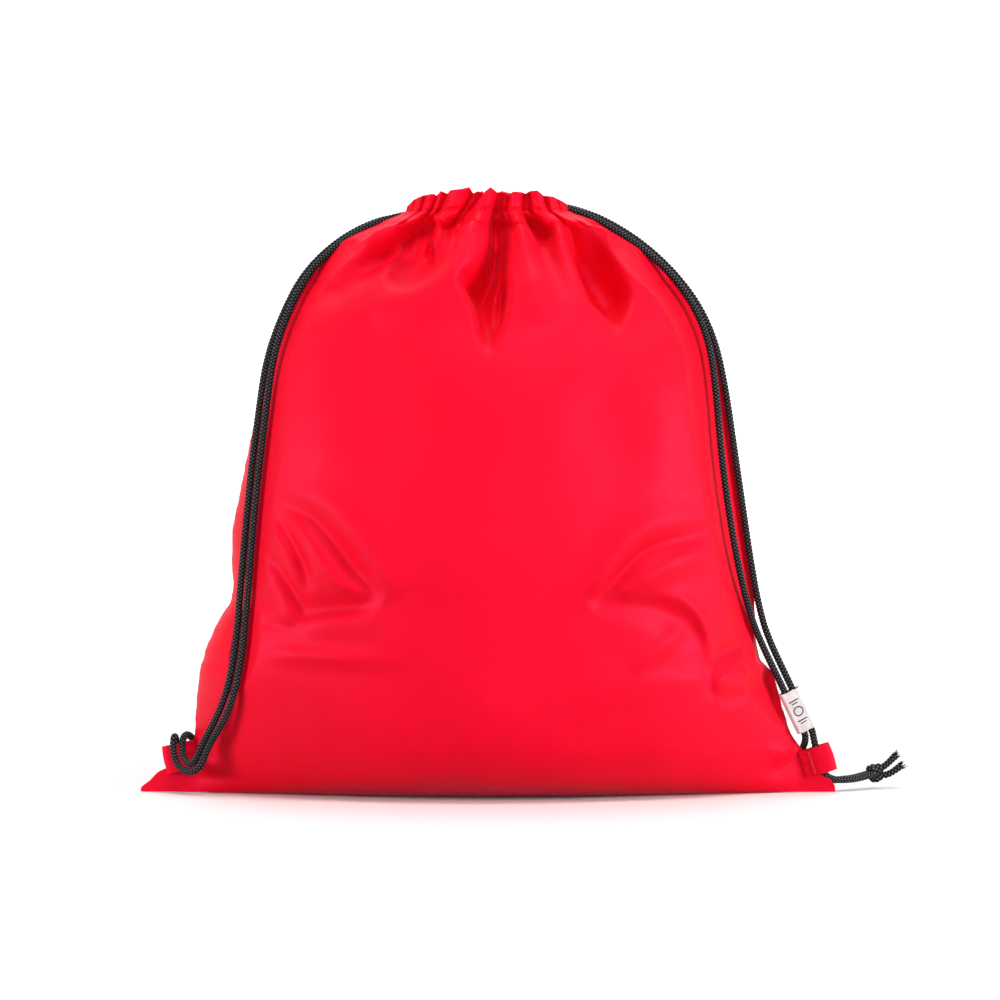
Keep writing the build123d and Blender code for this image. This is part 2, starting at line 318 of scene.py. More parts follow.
def cord_material(name):
    m, nodes, links, shader = material(name)
    strand_light_shade_attr = nodes.new("ShaderNodeAttribute")
    strand_light_shade_attr.attribute_name = "high"
    uv = nodes.new("ShaderNodeUVMap")
    uv.uv_map = "UVMap"
    mapping = nodes.new("ShaderNodeMapping")
    mapping.inputs["Scale"].default_value = (60.0, 40.0, 1.0)
    links.new(uv.outputs[0], mapping.inputs["Vector"])
    hair = noise_node(mapping.outputs[0], 1.0, 3.0, 0.6)
    # base colour: painted highlight on the tops of the strands and painted shade in the gaps between them, from the
    # 'high' attribute, with random fibre tone from the noise
    mix = math_node("ADD", math_node("MULTIPLY", strand_light_shade_attr.outputs["Fac"], 0.7), math_node("MULTIPLY", hair, 0.35))
    links.new(
        ramp(mix, [(0.38, (0.0006, 0.0006, 0.0008)), (0.62, (0.005, 0.005, 0.006)), (0.86, (0.15, 0.15, 0.16))]),
        shader.inputs["Base Color"],
    )
    links.new(math_node("ADD", math_node("MULTIPLY", hair, 0.25), 0.55), shader.inputs["Roughness"])
    bump = bump_node(hair, 0.5, 0.08 * MM)
    links.new(bump, shader.inputs["Normal"])
    set_inputs(shader, {
        "Specular IOR Level": 0.12,
        "Sheen Weight": 0.0,
        "Sheen Roughness": 0.5,
    })
    return m


def thread_material(name):
    m, nodes, links, shader = material(name)
    geo = nodes.new("ShaderNodeNewGeometry")
    twist = noise_node(geo.outputs["Position"], 1500.0, 2.0)
    links.new(ramp(twist, [(0.3, (0.50, 0.0, 0.010)), (0.7, (0.80, 0.004, 0.03))]), shader.inputs["Base Color"])
    bump = bump_node(twist, 1.0, 0.05 * MM)
    links.new(bump, shader.inputs["Normal"])
    set_inputs(shader, {
        "Roughness": 0.6,
        "Specular IOR Level": 0.25,
    })
    return m


RED = cloth_material("red_cloth_weave", (0.71, 0.0, 0.004), (0.84, 0.0, 0.011))
THREAD = thread_material("red_sewing_thread")
BLACK = cord_material("black_braid")


def dress(obj, mat):
    obj.data.materials.clear()
    obj.data.materials.append(mat)


# ------------------------------------------------------------------ cords
LEFT_FRONT_RUN = [
    (-33.0, -6.8, 292.0), (-38.5, -3.8, 291.2), (-45.0, -2.2, 289.9), (-57.0, -2.2, 286.8), (-75.0, -3.5, 276.5),
    (-90.5, -8.5, 260.8), (-100.5, -16.5, 240.5), (-107.0, -25.5, 218.5),
    (-110.0, -31.5, 193.0), (-113.5, -36.0, 163.0), (-116.5, -39.0, 132.0),
    (-119.0, -38.5, 101.0), (-121.5, -41.0, 72.0), (-126.0, -40.5, 50.0),
    (-133.5, -31.0, 34.5), (-139.4, -23.0, 25.6), (-142.0, -22.3, 18.6),
]
LEFT_BACK_RUN = [
    (-33.0, 6.8, 292.0), (-38.5, 3.8, 291.2), (-45.0, 2.2, 289.9), (-58.5, 2.0, 287.0), (-76.5, 1.0, 277.2),
    (-92.8, -4.0, 261.0), (-103.0, -11.0, 240.5), (-110.5, -19.0, 218.5),
    (-114.0, -25.5, 193.0), (-117.5, -30.5, 163.0), (-120.5, -33.5, 132.0),
    (-123.0, -33.5, 101.0), (-125.5, -36.5, 72.0), (-130.0, -36.5, 51.0),
    (-137.3, -27.0, 35.5), (-142.6, -20.4, 26.6), (-145.2, -19.9, 19.6),
]
RIGHT_FRONT_RUN = [
    (33.0, -6.8, 295.6), (38.5, -3.8, 294.6), (45.5, -2.2, 292.2), (57.5, -2.4, 286.8), (75.0, -3.5, 275.8),
    (91.0, -6.0, 262.0), (103.0, -11.0, 245.5), (110.5, -17.5, 226.5),
    (113.5, -23.5, 203.0), (115.5, -30.5, 175.0), (119.0, -33.0, 146.0),
    (124.0, -30.5, 117.0), (130.2, -20.5, 93.0), (136.4, -10.6, 77.0),
    (148.4, -6.6, 52.4), (159.5, -2.9, 29.5),
]
RIGHT_BACK_RUN = [
    (33.0, 6.8, 295.6), (38.5, 3.8, 294.8), (45.5, 2.2, 293.0), (58.0, 2.2, 288.6), (76.0, 1.5, 277.8),
    (92.5, 0.0, 263.0), (105.5, -4.0, 246.0), (114.0, -8.0, 227.0),
    (119.0, -10.5, 203.0), (123.0, -11.5, 175.0), (127.2, -12.5, 146.0),
    (131.5, -12.0, 117.0), (135.8, -10.8, 94.0), (140.4, -9.4, 78.4),
    (152.2, -6.0, 54.0), (163.0, -2.9, 31.4),
]
LEFT_FRONT_END = [
    (-142.0, -22.3, 18.8), (-144.0, -21.2, 13.4), (-150.5, -16.0, 11.2),
    (-156.3, -10.5, 15.0), (-158.2, -7.4, 21.5), (-158.0, -6.2, 28.4),
    (-157.4, 0.0, 28.4), (-155.8, 0.0, 18.4), (-153.8, 0.4, 9.0),
    (-152.0, 7.9, 7.4), (-149.4, 17.0, 5.2), (-147.3, 28.0, 4.0),
    (-147.0, 41.0, 4.0), (-147.0, 49.5, 4.0), (-146.9, 58.6, 5.6), (-146.4, 61.5, 6.2),
]
LEFT_BACK_END = [
    (-145.2, -19.9, 19.8), (-147.3, -18.0, 15.2), (-151.5, -12.2, 16.2),
    (-153.6, -8.0, 21.0), (-153.6, -4.5, 28.0), (-151.5, 3.0, 29.6),
    (-148.2, 10.0, 25.0), (-146.2, 16.5, 16.0), (-144.0, 27.0, 7.0),
    (-143.1, 41.0, 4.0), (-143.1, 49.5, 4.0), (-143.1, 58.6, 5.6), (-143.6, 61.5, 6.2),
]
RIGHT_FRONT_END = [
    (159.5, -2.9, 29.6), (160.0, -1.4, 25.8), (158.8, 8.4, 21.8),
    (160.0, 11.0, 14.5), (166.0, 10.6, 7.6), (172.5, 8.0, 5.2), (178.5, 10.4, 5.6),
    (185.6, 16.1, 5.9), (192.3, 21.2, 7.4), (195.4, 22.4, 8.0),
]
RIGHT_BACK_END = [
    (163.0, -2.9, 31.6), (164.4, -0.8, 25.0), (166.8, 0.0, 16.6),
    (169.4, 0.3, 8.8), (174.4, 4.1, 6.0), (180.9, 7.4, 5.6),
    (188.0, 13.0, 5.9), (194.7, 18.1, 7.4), (196.8, 20.4, 8.0),
]
LEFT_CHANNEL = [
    (-34.0, -8.0, 292.0), (-31.0, -11.2, 292.0), (-25.0, -12.2, 292.0), (-9.0, -12.3, 292.2),
    (10.0, -12.3, 291.8), (25.0, -12.4, 292.0), (34.6, -10.2, 292.0), (37.6, 0.0, 292.0),
    (34.6, 10.2, 292.0), (25.0, 12.4, 292.0), (10.0, 12.3, 292.2), (-9.0, 12.3, 291.8),
    (-25.0, 12.2, 292.0), (-31.0, 11.2, 292.0), (-34.0, 8.0, 292.0),
]
RIGHT_CHANNEL = [(-x, y, z + 4.2) for x, y, z in LEFT_CHANNEL]
LEFT_KNOT = np.array([-145.0, 62.5, 6.4])
RIGHT_KNOT = np.array([196.7, 22.0, 8.2])

cord_lines = {}
JOINTS = {j["name"]: j for j in frame["joints"]}


def strap_cord(name, points, replaced, body=None):
    """A braided cord; without a body it is left unattached."""
    obj, line = braid(name, spline(points))
    dress(obj, BLACK)
    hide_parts(*replaced)
    if body is not None:
        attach(obj, body)
    cord_lines[name] = line
    return obj, line


for name, points, node, body, length in (
    ("left_front_run_braid", LEFT_FRONT_RUN, "left_front_run", "left_strap", 0.3205),
    ("left_back_run_braid", LEFT_BACK_RUN, "left_back_run", "left_strap", 0.3205),
    ("right_front_run_braid", RIGHT_FRONT_RUN, "right_front_run", "right_strap", 0.316),
    ("right_back_run_braid", RIGHT_BACK_RUN, "right_back_run", "right_strap", 0.310),
    ("left_channel_braid", LEFT_CHANNEL, "left_channel_cord", "bag", 0.162),
    ("right_channel_braid", RIGHT_CHANNEL, "right_channel_cord", "bag", 0.162),
):
    obj, line = strap_cord(name, points, [node], body)


def trefoil(centre, size, turn, tilt, flip=1.0):
    """Closed three-lobed winding round a centre, in mm."""
    t = np.linspace(0, 2 * math.pi, 160)
    p = np.stack([np.sin(t) + 2 * np.sin(2 * t), np.cos(t) - 2 * np.cos(2 * t), -1.5 * np.sin(3 * t) * flip],
        axis=1) / 3 * size
    ct, st = math.cos(tilt), math.sin(tilt)
    p = p @ np.array([[1, 0, 0], [0, ct, -st], [0, st, ct]]).T
    c, s = math.cos(turn), math.sin(turn)
    p = p @ np.array([[c, -s, 0], [s, c, 0], [0, 0, 1]]).T
    return p + centre


def frayed(name, root, points, seed):
    """Short cut end of braid that opens into loose fibres."""
    route = [tuple(root + np.array(p)) for p in points]
    line = spline(route)
    cap = lambda along, total: 0.98 + 0.10 * step(total * 0.6, total, along)
    obj, line = braid(name + "_core", line, taper=cap)
    rng = np.random.default_rng(seed)
    verts, faces, uvs, highs = [], [], [], []
    mesh = obj.data
    base = np.array([v.co[:] for v in mesh.vertices])
    ahead, across, up = frames_along(line)
    a, c, u, tip = ahead[-1], across[-1], up[-1], line[-1]
    for k in range(46):
        ang, rad = rng.uniform(0, 2 * math.pi), math.sqrt(rng.uniform(0.02, 1)) * 1.55 * MM
        out = math.cos(ang) * c + math.sin(ang) * u
        start = tip - a * 0.8 * MM + out * rad
        reach = rng.uniform(1.4, 3.6) * MM
        spread = rng.uniform(0.2, 0.75)
        bend = rng.normal(0, 0.5, 3) * MM
        pts = [start + a * reach * f + out * rad * spread * f * f * 1.4 + bend * f * f for f in (0, 0.35, 0.7, 1.0)]
        thick = [0.17 * MM, 0.16 * MM, 0.13 * MM, 0.05 * MM]
        first = len(verts)
        for p, r in zip(pts, thick):
            for j in range(4):
                q = 2 * math.pi * j / 4
                verts.append(p + r * (math.cos(q) * c + math.sin(q) * u))
                uvs.append((k * 0.1, j * 0.25))
                highs.append(rng.uniform(0.3, 0.8))
        for f in grid_faces(4, 4, closed=True):
            faces.append(tuple(int(x) + first for x in f))
    n = len(base)
    old_faces = [tuple(p.vertices) for p in mesh.polygons]
    old_uv = np.zeros((n, 2))
    for loop, uvv in zip(mesh.loops, mesh.uv_layers[0].data):
        old_uv[loop.vertex_index] = uvv.uv[:]
    old_high = [d.value for d in mesh.attributes["high"].data]
    all_verts = np.vstack([base, verts])
    all_faces = old_faces + [tuple(x + n for x in f) for f in faces]
    bpy.data.objects.remove(obj)
    obj = new_mesh(name, all_verts, all_faces, np.vstack([old_uv, uvs]))
    # the painted highlight and shade attribute, with random values on the loose fibres
    strand_light_shade_attr = obj.data.attributes.new("high", "FLOAT", "POINT")
    strand_light_shade_attr.data.foreach_set("value", np.array(old_high + highs, dtype=np.float32))
    dress(obj, BLACK)
    return obj


def join(name, objs):
    """One mesh object from several, all with the same layers."""
    bpy.ops.object.select_all(action="DESELECT")
    for o in objs:
        o.select_set(True)
    bpy.context.view_layer.objects.active = objs[0]
    bpy.ops.object.join()
    objs[0].name = name
    objs[0].data.name = name
    return objs[0]


HIGH_TAIL = [(1.0, 0.2, 0.6), (4.0, 0.8, 2.4), (7.5, 1.6, 5.2), (10.5, 2.6, 8.2)]
LOW_TAIL = [(1.0, -0.2, -0.6), (4.4, -0.8, -1.8), (9.0, -1.0, 0.2), (13.0, 0.0, 3.2)]
for side, centre, seed in (("left", LEFT_KNOT, 3), ("right", RIGHT_KNOT, 7)):
    turned = side == "left"
    swing = (lambda p: (-p[1], p[0], p[2])) if turned else (lambda p: p)
    heading = math.radians(90 if turned else 33)
    winds = []
    for k, (size, turn, tilt, flip) in enumerate(((3.5, 0.2, 1.25, 1.0), (3.1, 1.3, 1.9, -1.0))):
        loop = trefoil(centre, size, heading + turn, tilt, flip) * MM
        o, _ = braid(f"{side}_wind_{k}", loop, diameter=3.7, around=20)
        winds.append(o)
    knot = join(f"{side}_overhand_knot", winds)
    dress(knot, BLACK)
    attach(knot, f"{side}_knotted_end")
    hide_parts(f"{side}_knot")
    tails = []
    for which, points in (("high", HIGH_TAIL), ("low", LOW_TAIL)):
        tail = frayed(f"{side}_{which}_tail_braid", centre, [swing(p) for p in points], seed + len(tails))
        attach(tail, f"{side}_knotted_end")
        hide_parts(f"{side}_{which}_tail")
        tails.append(tail)
    if turned:
        routes = (("front", LEFT_FRONT_END, 0.122, (-0.145, 0.034, 0.006), (-0.145, 0.048, 0.006)),
            ("back", LEFT_BACK_END, 0.102, (-0.145, 0.034, 0.006), (-0.145, 0.048, 0.006)))
    else:
        routes = (("front", RIGHT_FRONT_END, 0.063, (0.1765, 0.0065, 0.0076), (0.1845, 0.0125, 0.0076)),
            ("back", RIGHT_BACK_END, 0.055, (0.1765, 0.0065, 0.0076), (0.1845, 0.0125, 0.0076)))
    for k, (which, points, length, start, end) in enumerate(routes):
        name = f"{side}_{which}_leg_braid"
        obj, line = strap_cord(name, points, [f"{side}_{which}_leg", f"{side}_{which}_end"])
        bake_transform(obj)

# ------------------------------------------------------------------ cloth
# Front-view outline of the filled bag, in mm: height, reach of the cloth's edge.
LEFT_EDGE = [
    (0, 175), (2, 175), (6, 170.5), (10.5, 166), (13.5, 159.5), (19, 152.5), (26, 148.3), (47, 146.6), (60, 145.2),
    (72, 142.0), (84, 137.0), (91, 133.0), (98, 129.0), (105, 128.2), (112, 128.8), (132, 128.6), (140, 127.0),
        (172, 120.6),
    (203, 114.0), (225, 108.6), (240, 103.5), (249, 99), (262, 92), (271, 82.5), (280, 69), (285, 58.2),
        (287.6, 52), (289.6, 47), (291.4, 43.2), (293.4, 41.3), (304, 40.5),
]
RIGHT_EDGE = [
    (0, 175), (3, 174.8), (8, 171), (13, 166), (21.6, 158.5), (29, 153), (40, 149), (52, 145.8), (60, 143.4),
    (67, 137.2), (75, 135.0), (97, 133.8), (127, 130.2), (150, 127.2), (167, 124.8), (190, 121.6), (205, 119.2),
        (222, 114.8),
    (235, 109.6), (253, 99.0), (262, 92.4), (271, 82.4), (280, 68.5), (284, 61), (287, 55), (289.4, 48.6),
        (291.6, 42.6), (293.8, 40.4), (298, 40), (304, 39.5),
]
LEFT_BODY = [(0, 150), (10, 149.8), (19, 149), (26, 148.3), (304, 148.3)]
RIGHT_BODY = [(0, 157), (10, 158), (21.6, 156), (29, 153), (304, 153)]
DEPTH = [
    (0, 22), (1, 31), (2, 37), (3.5, 43), (5, 48), (7, 53), (10, 58.5), (15, 64.5), (21, 69), (27, 72), (45, 76),
        (65, 79), (90, 82), (130, 85),
    (170, 83), (210, 73), (240, 57), (258, 44), (270, 34), (279, 26), (285, 20.5), (289.5, 17.4), (294, 16.2),
        (304, 16.0),
]
PINCH = [(0, 2.5), (12, 2.3), (27, 1.8), (45, 1.35), (65, 1.1), (90, 0.99), (130, 0.93), (200, 0.88), (250, 0.95),
    (304, 1.0)]
COLS = 420
FLAT_SIZE = (0.35, 0.425)  # each panel laid flat, in metres
CORD_BED = 2.4  # from the middle of a cord to the cloth it lies on
LEAST_DEPTH = 1.1  # pressed cloth stays this far outside the seam allowance
GROOVE_TOP = 279  # the grooves under the cords end below the mouth
SWING_SHARES = (0.8, 1.0)  # parts of the swing the cloth behind makes room for
HEM_Z = 292.6


def table_at(rows, z):
    return smooth_rows([r[0] for r in rows], [r[1] for r in rows], z)


def seen_at(p):
    """Where a point in mm shows on the upright plane through the side seams, in mm."""
    eye = CAMERA_AT / MM
    ray = p - eye
    k = -eye[1] / ray[:, 1]
    on = eye + ray * k[:, None]
    return on[:, 0], on[:, 2]


def along_stroke(px, pz, points):
    """Signed distance across a given line, and how far along it, 0 to 1."""
    pts = np.array(points, float)[:, :2]
    # smooth the line through its points
    t = np.arange(len(pts))
    fine_t = np.linspace(0, len(pts) - 1, (len(pts) - 1) * 6 + 1)
    if len(pts) > 2:
        fx = catmull(pts[:, 0], fine_t)
        fz = catmull(pts[:, 1], fine_t)
    else:
        fx, fz = np.interp(fine_t, t, pts[:, 0]), np.interp(fine_t, t, pts[:, 1])
    best = np.full(len(px), 1e9)
    signed = np.zeros(len(px))
    where = np.zeros(len(px))
    for k in range(len(fx) - 1):
        ax, az, bx, bz = fx[k], fz[k], fx[k + 1], fz[k + 1]
        dx, dz = bx - ax, bz - az
        ll = math.hypot(dx, dz)
        if ll < 1e-6:
            continue
        f = np.clip(((px - ax) * dx + (pz - az) * dz) / ll**2, 0, 1)
        qx, qz = px - ax - f * dx, pz - az - f * dz
        d = np.hypot(qx, qz)
        side = np.sign(dx * qz - dz * qx)
        near = d < best
        best[near] = d[near]
        signed[near] = (d * side)[near]
        where[near] = (fine_t[k] + f * (fine_t[k + 1] - fine_t[k]))[near]
    return signed, where


def catmull(values, at):
    k = np.clip(np.floor(at).astype(int), 0, len(values) - 2)
    f = at - k
    p0 = values[np.clip(k - 1, 0, len(values) - 1)]
    p1, p2 = values[k], values[k + 1]
    p3 = values[np.clip(k + 2, 0, len(values) - 1)]
    return 0.5 * (2 * p1 + (p2 - p0) * f + (2 * p0 - 5 * p1 + 4 * p2 - p3) * f**2 + (3 * p1 - p0 - 3 * p2 + p3) * f**3)


# Folds seen on the front. Each line runs along the fold: x, z, height (+ out of the
# cloth), width on the left of its heading, width on its right. All in mm.
FRONT_FOLDS = [
    # rolled edge beside the left cord, and the crease under it
    [(-31, 293, 0.5, 3, 3), (-41, 287, 2.6, 4, 3.2), (-52, 280, 3.0, 4.5, 4), (-64, 269, 2.4, 5, 5),
        (-78, 257, 0, 6, 6)],
    [(-28.5, 286.5, -4.0, 3, 1.6), (-36, 283.8, -4.6, 5, 1.7), (-43, 280, -5.2, 6, 1.8),
        (-50, 275.6, -5.4, 6.5, 2.0), (-58, 270.5, -5.0, 7, 2.4), (-70, 262, -3.4, 7, 4), (-84, 250, -1.2, 8, 6),
        (-94, 240, 0, 8, 6)],
    [(-30.5, 289.5, -2.5, 1.4, 1.4), (-29.4, 286, -5.0, 1.7, 1.7), (-28.5, 282, -2.0, 1.5, 1.5)],
    # hook-shaped fold
    [(-25.5, 290, 1.0, 2, 2), (-22, 281.5, 2.4, 2.4, 2.0), (-23, 272.6, 1.6, 3, 2), (-26, 266, 0, 3, 3)],
    [(-28, 286, -1.5, 1.5, 1.2), (-28.8, 279.5, -3.0, 1.6, 1.6), (-27.4, 271.6, -2.4, 1.6, 1.8),
        (-24, 267, 0, 1.5, 2)],
    # broad pleat left of the middle
    [(-3, 296, 1.5, 4, 4), (-6.5, 284, 4.2, 5.5, 5), (-13, 268, 5.0, 8, 6), (-21, 257, 3.6, 12, 8),
        (-37, 249, 1.8, 12, 9), (-60, 243, 0, 10, 10)],
    # the deep pleat below the middle of the mouth
    [(3.4, 296, -2.0, 1.4, 1.4), (3.0, 285, -4.0, 2.0, 2.0), (1.6, 268.6, -3.5, 2.2, 2.4),
        (-4.6, 254.7, -2.4, 2.8, 2.6), (-3.4, 236, 0, 2.5, 2.5)],
    [(4.6, 272, 0, 2.0, 2.0), (3.4, 258, 1.4, 3.0, 2.8), (2.0, 240, 2.2, 3.2, 3.2), (0.0, 224, 0, 3, 3)],
    [(8.6, 285, -1.0, 1.3, 1.3), (7.8, 266, -3.6, 1.8, 1.6), (7.2, 249, -2.6, 2.2, 2.2), (5.8, 233, 0, 2.4, 2.4)],
    # broad pleat right of the middle
    [(13, 296, 1.0, 3, 3), (14.5, 287, 3.0, 4, 3.4), (18, 270, 4.0, 6, 7), (23, 254, 3.4, 9, 11),
        (28, 236, 0, 12, 14)],
    [(28, 292, 1.0, 3, 3), (33, 284, 2.2, 4, 3), (36, 272, 2.4, 5, 5), (42, 256, 1.6, 6, 6), (50, 240, 0, 6, 8)],
    # long ridge down to the right, with a shaded strip above it
    [(28, 294, 1.0, 2, 3), (43.5, 288, 3.2, 2.0, 5), (61, 276.5, 3.6, 2.2, 7), (75, 265, 3.0, 3, 9),
        (90, 251.5, 2.0, 4, 10), (101, 241, 0, 5, 10)],
    [(52, 286, -0.5, 2, 2.4), (62, 279.5, -2.4, 3, 2.4), (77, 268.6, -2.6, 4, 2.6), (92, 255.7, -1.6, 4, 3),
        (101, 246, 0, 4, 4)],
    # left side, where the side bends in
    [(-112, 151, 0, 3, 4), (-100, 144.5, -1.6, 5, 4), (-88, 137, -3.0, 6, 3.4), (-76, 122, -3.4, 7, 3.2),
        (-66, 109, -3.0, 7, 3), (-56, 101, -1.4, 5, 3), (-52, 98, 0, 4, 4)],
    [(-106, 152, 0, 8, 8), (-84, 146, 1.6, 9, 8), (-66, 128, 2.0, 10, 8), (-52, 108, 1.8, 10, 7), (-46, 98, 0, 8, 8)],
    [(-55, 99.5, 0, 4, 3), (-64, 94, -2.6, 4, 4.5), (-76.5, 93, -2.8, 4, 6), (-90, 91, -2.2, 4, 6),
        (-100, 88, 0, 4, 6)],
    [(-60, 101, 0, 4, 4), (-72, 104, 2.4, 5, 6), (-82, 112, 2.8, 5, 7), (-92, 128, 2.2, 4, 5), (-102, 139, 0, 4, 4)],
    [(-111, 143.5, 0, 3, 2), (-102, 131, -2.6, 3.4, 2.4), (-93.5, 114.5, -3.2, 3.6, 2.6), (-89, 103, 0, 4, 3)],
    [(-116, 146, 0, 4, 4), (-107, 132, 2.0, 4, 4), (-99, 118, 2.2, 4, 4), (-93, 103, 0, 4, 4)],
    [(-117, 122, 0, 3, 3), (-107, 114.5, -2.4, 3.4, 2.6), (-98.5, 101, -3.0, 3.4, 2.6), (-93.5, 91, -2.0, 3, 3),
        (-94, 84, 0, 3, 3)],
    [(-118, 112, 0, 5, 5), (-109, 103, 2.0, 6, 5), (-103, 92, 1.8, 6, 5), (-102, 84, 0, 5, 5)],
    [(-117, 97, 0, 1.2, 1.2), (-110, 99, -0.7, 1.2, 1.2), (-103, 97, 0, 1.2, 1.2)],
    [(-117, 92.5, 0, 1.2, 1.2), (-109, 93.5, -0.6, 1.3, 1.3), (-102, 91, 0, 1.2, 1.2)],
    [(-118, 86, 0, 2, 2), (-110, 85, -1.6, 2.6, 2.2), (-99, 83, -1.4, 2.6, 3), (-90, 82, 0, 3, 3)],
    [(-116, 78, 0, 6, 4), (-98, 75.5, -1.4, 7, 4), (-76, 74, -1.2, 7, 5), (-52, 74, 0, 8, 6)],
    [(-112, 69, 0, 4, 4), (-96, 69, 1.2, 4.5, 4), (-70, 67.5, 1.1, 5, 4.5), (-44, 66, 0, 6, 6)],
    [(-112, 64.5, 0, 4, 5), (-92, 63, -0.8, 5, 8), (-64, 61, -0.8, 6, 9), (-30, 58, 0, 7, 9)],
    # right side, where the side bends in
    [(51, 95, 0, 3, 3), (57, 99, -1.8, 3, 3.6), (68, 110.5, -2.8, 3, 4.5), (79.5, 121.6, -2.8, 2.8, 5),
        (90, 126, -2.2, 2.8, 5), (104, 129.5, -1.6, 3, 4), (119, 136, 0, 3, 3)],
    [(50, 98, 0, 6, 4), (56, 108, 1.6, 7, 4), (68, 125, 2.0, 8, 4.5), (82, 134.5, 1.7, 8, 4), (104, 139, 0.8, 7, 4),
        (118, 144, 0, 6, 4)],
    [(66, 98, 0, 4, 4), (78, 108, 2.2, 5, 6), (92, 115, 2.8, 6, 7), (106, 119, 2.2, 6, 6), (120, 122, 0, 5, 5)],
    [(52, 94, 0, 3, 4), (64, 95, -1.6, 3.5, 6), (80, 94, -2.6, 4.5, 7), (92, 90, -3.2, 5, 8), (102, 82, -2.6, 5, 8),
        (106, 72, 0, 5, 8)],
    [(86, 98.5, 0, 3, 3), (96, 97.5, 1.6, 4, 2.4), (104.5, 90.5, 2.4, 4, 2.4), (110, 80, 2.2, 4, 2.6),
        (112, 66, 1.6, 4, 3), (112, 50, 0, 4, 4)],
    [(72, 60, 0, 5, 5), (80, 67.5, 1.6, 5, 4), (92, 77, 1.8, 4, 3.4), (103, 87, 0, 3, 3)],
    [(120.5, 116, 0, 2, 2), (118.5, 109, -1.4, 2, 2), (115, 103, 0, 2, 2)],
    [(112.5, 46, 0, 2.5, 3), (112, 57, -2.4, 4, 2.6), (117, 68, -3.0, 4, 3), (126, 73.5, -2.2, 3, 4),
        (133, 77, 0, 3, 4)],
    [(116, 50, 0, 4, 4), (119, 60, 2.4, 4, 4), (127, 66, 2.4, 4, 4), (135, 68, 0, 3, 3)],
    [(116, 46, 0, 3, 3), (124, 47.5, -1.8, 3, 3), (133, 51, -1.4, 3, 3), (140, 56, 0, 3, 3)],
    # bottom corners
    [(-152, 19, 0, 3, 3), (-147, 15, 2.4, 3, 3.6), (-141, 12, 2.6, 3.4, 3.6), (-134, 11, 0, 4, 4)],
    [(-170, 10, 0, 1.5, 1.5), (-160, 9.0, -1.2, 1.6, 1.6), (-150, 8.4, -2.0, 1.6, 1.6), (-139, 7.6, -1.8, 2, 2),
        (-124, 7, -1.0, 2, 2), (-108, 5, 0, 2, 2)],
    [(-171, 8, 0, 1.0, 1.0), (-166, 7.2, -0.7, 1.4, 1.2), (-158.5, 5.6, -0.9, 1.5, 1.2), (-148, 3.8, 0, 2, 2)],
    [(-169, 5, 0, 1.5, 1.5), (-160, 3.2, 0.7, 1.6, 1.4), (-150, 2.4, 0, 2, 2)],
    [(140, 7.5, 0, 2, 2), (147, 11, -1.4, 2.4, 1.8), (155, 16.6, -1.8, 2.2, 1.6), (159, 22, 0, 2, 2)],
    [(143, 16, 0, 4, 3), (149, 20, 1.6, 4, 3), (154, 26, 0, 3, 3)],
    [(150, 5, 0, 2, 2), (158, 6.5, 1.0, 2.2, 2), (166, 9, 0.6, 2, 2), (170, 12, 0, 2, 2)],
    [(152, 2.6, 0, 1.4, 1.4), (161, 3.6, -0.7, 1.5, 1.4), (170, 5.6, 0, 1.4, 1.4)],
    # slow rolls of the filled body
    [(-74, 236, 0, 20, 20), (-64, 214, -3.4, 26, 26), (-54, 186, -3.0, 30, 30), (-50, 148, 0, 30, 30)],
    [(78, 232, 0, 20, 20), (90, 205, 2.0, 18, 22), (96, 176, 2.0, 16, 20), (98, 150, 0, 14, 18)],
    [(36, 232, 0, 24, 24), (58, 196, -2.2, 24, 24), (66, 160, -1.4, 22, 22), (66, 132, 0, 20, 20)],
    [(-40, 48, 0, 22, 22), (0, 42, 1.4, 22, 20), (40, 46, 0, 22, 22)],
]
# Sunken areas with a crisp rim: outline, depth at each height, softness, rim height.
FRONT_POCKETS = [
    ([(4, 297), (2.8, 289.5), (0.8, 278.5), (-2.5, 270), (-9, 263), (-15.5, 257), (-8.5, 244.5), (-6, 231),
        (-3, 223.5), (-0.2, 221.5),
      (3.6, 223), (8.8, 234), (11.8, 248.8), (11.3, 257), (8.4, 266), (9.6, 280.5), (9.6, 289.5), (8, 297)],
     [(221, 0.5), (226, 6.0), (240, 15), (256, 20), (272, 18), (286, 10), (297, 4)], 4.2, 0.6),
    ([(-27.4, 286), (-13, 291.4), (-15.8, 284.5), (-20, 271.6), (-25, 261), (-31, 254.2), (-41, 250.5), (-52, 256),
        (-50, 268), (-41, 280)],
     [(250, 0.5), (260, 6), (272, 10), (284, 9), (292, 3)], 5.0, 0.4),
    ([(16.8, 291), (21, 278.5), (27, 273.5), (34.5, 277.5), (31, 284), (23, 290)],
        [(273, 0.5), (279, 5), (286, 8), (291, 5)], 3.0, 0.3),
    ([(36.1, 278.5), (42.5, 263.7), (48.5, 248.8), (55.4, 240.8), (63.8, 231.9), (65.3, 230.9), (69.3, 238.9),
        (72.3, 252.7), (66.3, 265.5),
      (60.4, 275.0), (51, 281), (43.5, 286)], [(230, 0.5), (240, 10), (252, 17), (265, 18), (276, 13), (286, 4)],
          4.4, 0.8),
]


